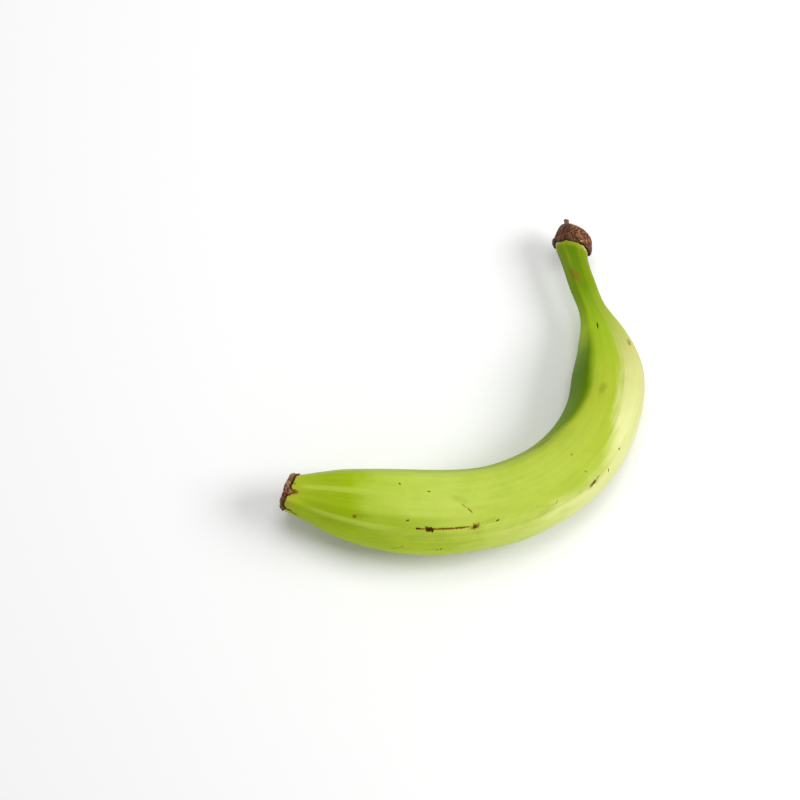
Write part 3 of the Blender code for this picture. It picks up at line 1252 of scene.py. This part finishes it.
@dataclass(frozen=True)
class ScarFinish:
    """The dry blossom scar: nearly black at its edges, rusty and grey between them."""

    name: str = "blossom_scar"
    black: Colour = from_card(40, 22, 12)
    rust: Colour = from_card(98, 60, 32)
    orange: Colour = from_card(138, 90, 46)
    grey: Colour = from_card(148, 120, 96)
    mottle: Grain = Grain((640, 640, 640), detail=4.0, roughness=0.65)
    grit: Grain = Grain((2600, 2600, 2600), detail=3.0, roughness=0.6)
    dryness: float = 0.68
    relief_height: float = 0.0003

    def mix(self) -> bpy.types.Material:
        """Mixes the blossom scar.

        Returns:
            The material.
        """
        bench = FinishBench(self.name)
        here = bench.coordinates(Axis.PLACE)
        mottle = bench.grain(here, self.mottle)
        grit = bench.grain(here, self.grit)
        tone = bench.noted("relief") + (mottle - 0.5) * 0.6 + (grit - 0.5) * 0.25
        stops = ((0.10, self.black), (0.42, self.rust), (0.68, self.orange), (0.95, self.grey))
        return bench.finish(
            {
                "Base Color": bench.ramp(tone, stops),
                "Roughness": self.dryness + (mottle - 0.5) * 0.3,
                "Specular IOR Level": 0.25,
                "Normal": bench.relief(grit * 0.6 + mottle * 0.4, self.relief_height, 0.6),
            }
        )


@dataclass(frozen=True)
class TableFinish:
    """The plain pale table."""

    name: str = "pale_table"
    colour: Colour = (0.90, 0.90, 0.90)
    roughness: float = 0.9

    def mix(self) -> bpy.types.Material:
        """Mixes the table's paint."""
        bench = FinishBench(self.name)
        return bench.finish({"Base Color": self.colour, "Roughness": self.roughness})


# ---------------------------------------------------------------------------------------------
# The fruit
# ---------------------------------------------------------------------------------------------


@dataclass
class Peel:
    """The peel, from under the blossom scar to under the crown, with its stalk."""

    line: MiddleLine
    section: Section
    points_round: int = 48
    spacing: float = 0.0029
    levels: int = 2
    scar_slant: float = 12.0
    slant_reach: float = 0.014
    cap_tilt: float = 14.0
    lump_height: float = 0.00035
    rib_height: float = 0.00030
    scar_depth: float = 0.00018
    rib_spread: float = 0.0016
    end_shares: tuple[float, ...] = (0.3, 0.7, 0.95)

    def slant(self, place: float) -> float:
        """How far a section leans from square to the line.

        Args:
            place: The section's place.

        Returns:
            The lean, in radians.
        """
        at_scar = self.scar_slant * (1.0 - float(smooth_rise(place, 0.0, self.slant_reach)))
        at_crown = self.cap_tilt * float(
            smooth_rise(place, self.section.crown_place, self.section.rim_place)
        )
        return math.radians(at_scar + at_crown)

    def hoops(self) -> list[Hoop]:
        """Works out the sections that the peel is grown from.

        Returns:
            The sections from the blossom end to the crown, with both ends closed.
        """
        count = round(self.section.rim_place / self.spacing)
        made = []
        for i in range(count + 1):
            place = self.section.rim_place * i / count
            heading = self.line.heading(place) - self.slant(place)
            made.append(Hoop(self.line.point(place), heading, float(self.section.radius(place))))
        first, last = made[0], made[-1]
        start = [Hoop(first.centre, first.heading, first.radius * s) for s in self.end_shares]
        end = [Hoop(last.centre, last.heading, last.radius * s) for s in self.end_shares]
        return start + made + end[::-1]

    def build(self) -> bpy.types.Object:
        """Grows the peel, shapes its five soft sides and works its surface.

        Returns:
            The peel, on the flat middle line.
        """
        piece = grow("peel", self.hoops(), self.points_round)
        self.shape_sides(piece)
        round_off(piece, self.levels)
        self.work_surface(piece)
        return piece

    def shape_sides(self, piece: bpy.types.Object) -> None:
        """Draws the round form out into five soft sides.

        Args:
            piece: The peel before it is rounded off.
        """
        points = points_of(piece)
        place, away, angle = self.line.locate(points)
        share = self.section.share(angle, np.clip(place, 0.0, self.section.rim_place))
        to_crown = smooth_rise(place, self.section.crown_place, self.section.rim_place)
        fullness = away / self.section.radius(place)
        reach = away * share + to_crown * self.section.rim_swell(angle) * fullness
        self.set_reach(piece, points, angle, reach - away)

    def set_reach(self, piece: bpy.types.Object, points: Rows, angle: Rows, more: Rows) -> None:
        """Moves points out from the middle line.

        Args:
            piece: The peel.
            points: Its points.
            angle: Their angles round the line.
            more: How much further out each one goes.
        """
        place = self.line.locate(points)[0]
        heading = np.interp(place, self.line.places, self.line.headings)
        points[:, 0] += more * np.cos(angle) * np.sin(heading)
        points[:, 1] -= more * np.cos(angle) * np.cos(heading)
        points[:, 2] += more * np.sin(angle)
        move_points(piece, points)

    def work_surface(self, piece: bpy.types.Object) -> None:
        """Gives the skin its lumps, long ribs and ridges, and notes where each point is on it.

        Args:
            piece: The peel, rounded off.
        """
        points = points_of(piece)
        place, away, angle = self.line.locate(points)
        SkinMap(self.section).note(piece, place, angle)
        fullness = smooth_rise(away / self.section.radius(place), 0.75, 0.95)
        ends = 1.0 - smooth_rise(place, 0.02, 0.08) + smooth_rise(place, 0.19, 0.24)
        more = self.lump_height * waves(points, 42.0, 3.0)
        stretched = np.stack([place * 0.14, np.cos(angle) * 0.02, np.sin(angle) * 0.02], axis=1)
        more += 0.35 * self.lump_height * waves(stretched, 160.0, 11.0)
        radius = self.section.radius(place)
        for direction in self.section.ridge_directions:
            arc = turn_between(angle, direction) * radius
            more += self.rib_height * (0.25 + 0.75 * ends) * np.exp(-((arc / self.rib_spread) ** 2))
        worn = np.zeros(len(points))
        for mark in DARK_SCARS + BROWN_MARKS_AND_NECK_SHADOW:
            worn = np.maximum(worn, mark.depth(place, turn_between(angle, mark.angle) * radius))
        note_value(piece, "worn", worn)
        more -= self.scar_depth * worn
        self.set_reach(piece, points, angle, more * fullness)


@dataclass(frozen=True)
class SkirtHoop:
    """A section of a dried end where it laps over the peel.

    It is given by its height over the fruit's end, its radius, how much of the skirt's drop it
    takes, how far it stands off the peel, and how much of the skirt's lift it takes.
    """

    height: float
    radius: float
    drop: float
    off_peel: float
    lift: float


@dataclass(frozen=True)
class Flap:
    """A tongue of a torn edge: its direction in degrees, its length, and its spread in radians."""

    direction: float
    length: float
    spread: float

    def reach(self, angle: Rows) -> Rows:
        """How far the tongue reaches at each angle."""
        return self.length * np.exp(-((turn_between(angle, self.direction) / self.spread) ** 2))


@dataclass
class DriedEnd:
    """A dried cap on one end of the fruit, with a ragged skirt that laps over the peel."""

    line: MiddleLine
    section: Section

    points_round: int = 64
    levels: int = 2
    place: float = 0.0
    tilt: float = 0.0
    way: float = 1.0
    under_height: float = 0.0
    under_shares: tuple[float, ...] = (0.20, 0.45, 0.65)
    skirt: tuple[SkirtHoop, ...] = ()
    flaps: tuple[Flap, ...] = ()

    def __post_init__(self) -> None:
        """Finds the cap's own axis, which looks out of the fruit's end."""
        self.base = self.line.point(self.place)
        self.heading = self.line.heading(self.place) - math.radians(self.tilt)
        self.ahead = self.way * Vector((math.cos(self.heading), math.sin(self.heading), 0.0))
        self.outward = Vector((math.sin(self.heading), -math.cos(self.heading), 0.0))
        self.radius = float(self.section.radius(self.place))

    def hoop(self, height: float, radius: float, lean: float = 0.0) -> Hoop:
        """A section of the cap at a height over the fruit's end, leaning off its axis."""
        return Hoop(self.base + height * self.ahead - lean * self.outward, self.heading, radius)

    def places(self, points: Rows) -> tuple[Rows, Rows, Rows]:
        """Where points stand on the cap.

        Args:
            points: Points, one in each row.

        Returns:
            The height over the fruit's end, the distance from the axis, and the angle round it.
        """
        away = points - np.array(self.base)
        height = away @ np.array(self.ahead)
        out = away @ np.array(self.outward)
        return height, np.hypot(out, points[:, 2]), np.arctan2(points[:, 2], out)

    def round_noise(self, angle: Rows, scale: float, seed: float) -> Rows:
        """Uneven waves round the cap that meet where they started."""
        ring = np.stack([np.cos(angle), np.sin(angle), np.zeros_like(angle)], axis=1)
        return waves(ring, scale, seed)

    def skirt_hoops(self) -> list[Hoop]:
        """The sections of the cap's hidden underside and of its skirt."""
        under = [self.hoop(self.under_height, share * self.radius) for share in self.under_shares]
        return under + [self.hoop(hoop.height, hoop.radius * self.radius) for hoop in self.skirt]

    def drop(self, angle: Rows) -> Rows:
        """How far down the peel the skirt reaches at each angle."""
        return sum((flap.reach(angle) for flap in self.flaps), np.zeros_like(angle))

    def lift(self, angle: Rows) -> Rows:
        """How far the skirt stands away from the peel at each angle."""
        return np.zeros_like(angle)

    def outer_side(self, facing: Rows, angle: Rows) -> Rows:
        """1 where the cap's surface looks out or ahead, and 0 on its hidden underside.

        Args:
            facing: The way the surface faces at each point.
            angle: The points' angles round the cap.

        Returns:
            The share for each point.
        """
        ahead = facing @ np.array(self.ahead)
        level = np.cos(angle) * (facing @ np.array(self.outward))
        aside = level + np.sin(angle) * facing[:, 2]
        return smooth_rise(np.maximum(ahead, aside), -0.2, 0.3)

    def fit_skirt(self, piece: bpy.types.Object, peel: BVHTree) -> None:
        """Draws the skirt down over the peel.

        Args:
            piece: The cap before it is rounded off.
            peel: The peel's surface.
        """
        points = points_of(piece)
        height, away, angle = self.places(points)
        for hoop in self.skirt:
            mine = np.abs(height - hoop.height) < 1e-6
            mine &= np.abs(away - hoop.radius * self.radius) < 1e-5
            for i in np.flatnonzero(mine):
                here = angle[i : i + 1]
                low = hoop.height - hoop.drop * float(self.drop(here)[0])
                centre = self.base + low * self.ahead
                side = math.cos(here[0]) * self.outward + Vector((0, 0, math.sin(here[0])))
                found = peel.ray_cast(centre, side)
                reach = found[3] if found[0] is not None else hoop.radius * self.radius
                reach += hoop.off_peel + hoop.lift * float(self.lift(here)[0])
                points[i] = centre + reach * side
        move_points(piece, points)


@dataclass
class Crown(DriedEnd):
    """The dried crown: a pointed, fibrous cap with a ragged skirt over the stalk's end, and a nub."""

    place: float = 0.298
    tilt: float = 14.0
    height: float = 0.0100
    pointedness: float = 1.6
    peak_offset: float = 0.0038
    rim_height: float = 0.0005
    rim_share: float = 1.02
    rim_shift: float = 0.0007
    cap_hoops: int = 16
    nub_radius: float = 0.0017
    nub_height: float = 0.0030
    nub_lean: float = 0.0009
    nub_profile: tuple[tuple[float, float], ...] = (
        (0.25, 0.80),
        (0.50, 0.76),
        (0.75, 0.92),
        (0.92, 0.90),
        (1.00, 0.50),
    )
    long_side: float = -5.0
    shortest_drop: float = 0.0008
    long_side_drop: float = 0.0028
    long_side_lift: float = 0.0006
    edge_height: float = -0.0018
    fibre_height: float = 0.00085
    lump_height: float = 0.00050
    hollow_depth: float = 0.00015
    under_height: float = -0.0008
    skirt: tuple[SkirtHoop, ...] = (
        SkirtHoop(-0.0014, 0.80, 0.80, -0.0010, 0.0),
        SkirtHoop(-0.0018, 0.92, 1.00, -0.0001, 0.8),
        SkirtHoop(-0.0016, 0.97, 0.97, 0.0005, 1.0),
        SkirtHoop(-0.0011, 1.00, 0.66, 0.0006, 1.0),
        SkirtHoop(-0.0004, 1.03, 0.30, 0.0005, 0.8),
    )
    flaps: tuple[Flap, ...] = (Flap(184.0, 0.0026, 0.28), Flap(262.0, 0.0022, 0.26))

    def drop(self, angle: Rows) -> Rows:
        """How far down the stalk the skirt reaches.

        Args:
            angle: Angles round the crown, in radians.

        Returns:
            The length below the first, level hoops at each angle.
        """
        toward_long_side = smooth_rise(np.cos(turn_between(angle, self.long_side)), 0.25, 1.0)
        reach = self.shortest_drop + self.long_side_drop * toward_long_side + super().drop(angle)
        reach += 0.0007 * self.round_noise(angle, 2.3, 4.0)
        return reach + 0.0006 * self.round_noise(angle, 6.5, 9.0)

    def lift(self, angle: Rows) -> Rows:
        """How far the skirt stands away from the stalk.

        Args:
            angle: Angles round the crown, in radians.

        Returns:
            The gap at each angle.
        """
        toward_long_side = smooth_rise(np.cos(turn_between(angle, self.long_side)), 0.35, 1.0)
        lift = self.long_side_lift * toward_long_side
        lift += 0.0001 * np.exp(-((turn_between(angle, 184.0) / 0.35) ** 2))
        return lift + 0.0002 * (1.0 + self.round_noise(angle, 5.0, 2.0))

    def hoops(self) -> list[Hoop]:
        """Works out the sections that the crown is grown from.

        Returns:
            The sections of its underside, skirt, cap and nub.
        """
        rim = self.rim_share * self.radius
        made = self.skirt_hoops() + [self.hoop(self.rim_height, rim, -self.rim_shift)]
        for i in range(1, self.cap_hoops + 1):
            turn = math.pi / 2.0 * i / self.cap_hoops
            fullness = max(0.0, math.cos(turn)) ** self.pointedness
            height = self.rim_height + (self.height - self.rim_height) * math.sin(turn)
            lean = (1.0 - fullness) * self.peak_offset - fullness * self.rim_shift
            made.append(self.hoop(height, self.nub_radius + (rim - self.nub_radius) * fullness, lean))
        for share, size in self.nub_profile:
            rise = self.height + share * self.nub_height
            lean = self.peak_offset + self.nub_lean * share
            made.append(self.hoop(rise, size * self.nub_radius, lean))
        return made

    def build(self, peel: BVHTree) -> bpy.types.Object:
        """Grows the crown and fits its skirt to the peel.

        Args:
            peel: The peel's surface, on the flat middle line.

        Returns:
            The crown, on the flat middle line.
        """
        piece = grow("crown", self.hoops(), self.points_round)
        self.fit_skirt(piece, peel)
        round_off(piece, self.levels)
        self.work_surface(piece)
        return piece

    def work_surface(self, piece: bpy.types.Object) -> None:
        """Raises the crown's fibres, folds and torn edge.

        Args:
            piece: The crown, rounded off.
        """
        points = points_of(piece)
        facing = facing_of(piece)
        height, away, angle = self.places(points)
        outer = self.outer_side(facing, angle)
        seen_side = np.cos(turn_between(angle, 35.0)) + 0.5 * waves(points, 260.0, 8.0)
        fibrous = 0.15 + 0.85 * smooth_rise(seen_side, -0.2, 0.55)
        wound = np.clip(cords(points, 620.0, 5.0, 1.0), 0.0, 1.0) ** 1.3
        small = np.clip(cords(points, 1150.0, 15.0, 0.8), 0.0, 1.0)
        along = np.stack([np.cos(angle) * 4.2, np.sin(angle) * 4.2, height * 110.0], axis=1)
        folds = 1.0 - np.minimum(1.0, 2.2 * np.abs(waves(along, 1.0, 21.0)))
        broad = waves(points, 190.0, 2.0)
        raised = np.clip(0.72 * wound + 0.28 * small, 0.0, 1.0) * fibrous
        raised += 0.55 * folds * (1.0 - fibrous)
        on_nub = smooth_rise(height, 0.90 * self.height, 1.05 * self.height)
        size = 1.0 - 0.6 * on_nub
        depth = self.fibre_height * raised - self.hollow_depth + self.lump_height * broad
        depth *= size * outer
        above_edge = height + self.drop(angle) - self.edge_height
        edge = 1.0 - smooth_rise(above_edge, 0.0, 0.0010)
        dark = 0.35 * edge * (1.0 - on_nub)
        # The relief noted here sets the crown's colour: painted shade where it is low, tan with a
        # painted highlight where fibres stand up, and darker near the torn edge.
        note_value(piece, "relief", np.clip(0.04 + 0.86 * raised + 0.20 * broad - dark, 0.0, 1.0))
        note_value(piece, "nub", on_nub)
        move_points(piece, points + facing * depth[:, None])


@dataclass
class BlossomScar(DriedEnd):
    """The dry scar that closes the blossom end, with scraps of the flower's foot on the peel."""

    tilt: float = 12.0
    way: float = -1.0
    dome: float = 0.0013
    raised_side: float = 0.0015
    raised_direction: float = 160.0
    shortest_drop: float = 0.0001
    cord_height: float = 0.00042
    lump_height: float = 0.00050
    crack_depth: float = 0.00040
    under_height: float = 0.0002
    skirt: tuple[SkirtHoop, ...] = (
        SkirtHoop(-0.0004, 0.80, 0.60, -0.0009, 0.0),
        SkirtHoop(-0.0006, 0.93, 1.00, -0.0002, 0.3),
        SkirtHoop(-0.0005, 0.98, 0.97, 0.0003, 1.0),
        SkirtHoop(-0.0003, 1.00, 0.60, 0.0004, 1.0),
        SkirtHoop(0.0000, 1.02, 0.20, 0.0003, 1.0),
    )
    flaps: tuple[Flap, ...] = (
        Flap(79.0, 0.0028, 0.13),
        Flap(12.0, 0.0020, 0.20),
        Flap(205.0, 0.0022, 0.16),
        Flap(292.0, 0.0030, 0.10),
    )
    face_profile: tuple[tuple[float, float], ...] = (
        (0.22, 1.02),
        (0.50, 0.99),
        (0.78, 0.95),
        (0.95, 0.88),
        (0.92, 0.80),
        (0.74, 0.72),
        (0.66, 0.60),
        (0.68, 0.46),
        (0.66, 0.34),
        (0.72, 0.26),
        (1.00, 0.19),
        (1.08, 0.12),
        (1.06, 0.05),
    )

    def drop(self, angle: Rows) -> Rows:
        """How far along the peel the scar's edge reaches at each angle."""
        ragged = 0.0004 * (1.0 + self.round_noise(angle, 4.6, 3.0))
        return self.shortest_drop + super().drop(angle) + ragged

    def lift(self, angle: Rows) -> Rows:
        """How far the scar's edge stands away from the peel at each angle."""
        return 0.0002 * (1.0 + self.round_noise(angle, 6.0, 6.0))

    def hoops(self) -> list[Hoop]:
        """The sections that the scar is grown from, from under it to its middle."""
        face = [self.hoop(rise * self.dome, s * self.radius) for rise, s in self.face_profile]
        return self.skirt_hoops() + face

    def build(self, peel: BVHTree) -> bpy.types.Object:
        """Grows the scar, fits its edge to the peel, and gives it five sides and a tilted face.

        Args:
            peel: The peel's surface, on the flat middle line.

        Returns:
            The scar, on the flat middle line.
        """
        piece = grow("blossom_scar", self.hoops(), self.points_round)
        self.fit_skirt(piece, peel)
        points = points_of(piece)
        height, away, angle = self.places(points)
        sided = smooth_rise(height, 0.0002, 0.0005)
        share = 1.0 + sided * (self.section.share(angle, np.zeros(len(points))) - 1.0)
        flat = points - np.array(self.base) - height[:, None] * np.array(self.ahead)
        side = away / self.radius * np.cos(turn_between(angle, self.raised_direction))
        raised = sided * 0.5 * (1.0 + side) * self.raised_side
        points += flat * (share - 1.0)[:, None] + raised[:, None] * np.array(self.ahead)
        move_points(piece, points)
        round_off(piece, self.levels)
        self.work_surface(piece)
        return piece

    def work_surface(self, piece: bpy.types.Object) -> None:
        """Roughens the scar and cracks it outwards from its middle.

        Args:
            piece: The scar, rounded off.
        """
        points = points_of(piece)
        facing = facing_of(piece)
        height, away, angle = self.places(points)
        wound = np.clip(cords(points, 700.0, 9.0, 0.9), 0.0, 1.0)
        broad = waves(points, 300.0, 4.0)
        spokes = self.round_noise(angle, 5.0, 14.0)
        share = away / self.radius
        outer = self.outer_side(facing, angle)
        cracks = np.abs(spokes) * smooth_rise(share, 0.2, 0.7)
        depth = self.cord_height * wound + self.lump_height * broad - self.crack_depth * cracks
        edge = 1.0 - smooth_rise(height + self.drop(angle), -0.0002, 0.0007)
        lip = np.exp(-(((share - 0.86) / 0.07) ** 2)) * smooth_rise(height, 0.0006, 0.0011)
        tone = 0.36 + 0.50 * wound + 0.50 * broad - 0.60 * edge - 0.60 * lip
        note_value(piece, "relief", np.clip(tone, 0.0, 1.0))
        move_points(piece, points + facing * (depth * outer)[:, None])


@dataclass
class Plantain:
    """The whole fruit."""

    line: MiddleLine
    section: Section
    rest: Rest

    def build(self) -> list[bpy.types.Object]:
        """Builds, dresses and settles the fruit's pieces.

        Returns:
            The peel, the crown and the scar.
        """
        peel = Peel(self.line, self.section).build()
        surface = surface_of(peel)
        crown_form = Crown(self.line, self.section)
        crown = crown_form.build(surface)
        scar = BlossomScar(self.line, self.section).build(surface)
        self.note_crown_edge(peel, crown_form)
        finishes = (
            (peel, PeelFinish().mix(SkinMap(self.section))),
            (crown, CrownFinish().mix()),
            (scar, ScarFinish().mix()),
        )
        for piece, finish in finishes:
            piece.data.materials.clear()
            piece.data.materials.append(finish)
            self.rest.settle(piece)
            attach(piece, BODY)
            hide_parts(SOLID)
            LOG.info("%s: %d faces", piece.name, len(piece.data.polygons))
        return [peel, crown, scar]

    def note_crown_edge(self, peel: bpy.types.Object, crown: Crown) -> None:
        """Notes on the peel how far above the crown's torn edge each point is.

        Args:
            peel: The peel, on the flat middle line.
            crown: The crown's form.
        """
        height, _, angle = crown.places(points_of(peel))
        above = height + crown.drop(angle) - crown.edge_height
        note_value(peel, "crown_edge", np.clip(above, -0.02, 0.01))


# ---------------------------------------------------------------------------------------------
# The studio
# ---------------------------------------------------------------------------------------------


@dataclass(frozen=True)
class SoftLamp:
    """A square lamp that looks at the fruit, placed round it by its bearing and height."""

    name: str
    bearing: float
    elevation: float
    distance: float
    size: float
    power: float
    colour: Colour = (1.0, 1.0, 1.0)

    def hang(self, target: Vector) -> None:
        """Hangs the lamp.

        Args:
            target: Where it looks.
        """
        bearing, elevation = math.radians(self.bearing), math.radians(self.elevation)
        level = math.cos(elevation)
        way = Vector((level * math.cos(bearing), level * math.sin(bearing), math.sin(elevation)))
        lamp = bpy.data.lights.new(self.name, "AREA")
        lamp.shape = "SQUARE"
        lamp.size = self.size
        lamp.energy = self.power
        lamp.color = self.colour
        holder = bpy.data.objects.new(self.name, lamp)
        holder.location = target + self.distance * way
        holder.rotation_euler = (-way).to_track_quat("-Z", "Y").to_euler()
        bpy.context.scene.collection.objects.link(holder)


@dataclass
class Studio:
    """A pale table, soft lamps, an even surrounding light and the camera."""

    azimuth: float = -42.67
    elevation: float = 75.0
    distance: float = 1.217
    lens: float = 100.0
    aside: float = -0.0522
    above: float = 0.0169
    target: Trio = (0.0, 0.0, 0.022)
    table_size: float = 12.0
    surround: float = 0.43
    lamps: tuple[SoftLamp, ...] = (
        SoftLamp("key", bearing=-42.0, elevation=42.0, distance=1.6, size=0.8, power=16.3),
        SoftLamp("top", bearing=48.0, elevation=74.0, distance=1.6, size=0.8, power=10.1),
    )

    def build(self) -> None:
        """Sets the table, the lamps and the camera."""
        self.set_table()
        for lamp in self.lamps:
            lamp.hang(Vector(self.target))
        self.set_surround()
        self.set_camera()

    def set_table(self) -> None:
        """Lays the table under the fruit."""
        lift_off()
        bpy.ops.mesh.primitive_plane_add(size=self.table_size, location=(0.0, 0.0, 0.0))
        table = bpy.context.object
        table.name = "table"
        table.data.materials.append(TableFinish().mix())

    def set_surround(self) -> None:
        """Fills the room with even light."""
        world = bpy.data.worlds.new("studio")
        world.use_nodes = True
        background = world.node_tree.nodes["Background"]
        background.inputs["Color"].default_value = (1.0, 1.0, 1.0, 1.0)
        background.inputs["Strength"].default_value = self.surround
        bpy.context.scene.world = world
        bpy.context.scene.view_settings.view_transform = "Standard"

    def set_camera(self) -> None:
        """Places the camera."""
        azimuth, elevation = math.radians(self.azimuth), math.radians(self.elevation)
        level = math.cos(elevation)
        right = Vector((math.cos(azimuth), math.sin(azimuth), 0.0))
        ahead = Vector(
            (-math.sin(azimuth) * level, math.cos(azimuth) * level, -math.sin(elevation))
        )
        up = right.cross(ahead)
        lens = bpy.data.cameras.new("camera")
        lens.lens = self.lens
        lens.clip_start = 0.01
        camera = bpy.data.objects.new("camera", lens)
        sideways = self.aside * right + self.above * up
        camera.location = Vector(self.target) - self.distance * ahead + sideways
        camera.rotation_euler = Matrix((right, up, -ahead)).transposed().to_euler()
        bpy.context.scene.collection.objects.link(camera)
        bpy.context.scene.camera = camera


def main() -> None:
    """Builds the fruit and the studio."""
    logging.basicConfig(level=logging.INFO, format="%(name)s: %(message)s")
    Plantain(MiddleLine(), Section(), Rest()).build()
    Studio().build()


if __name__ == "__main__":
    main()
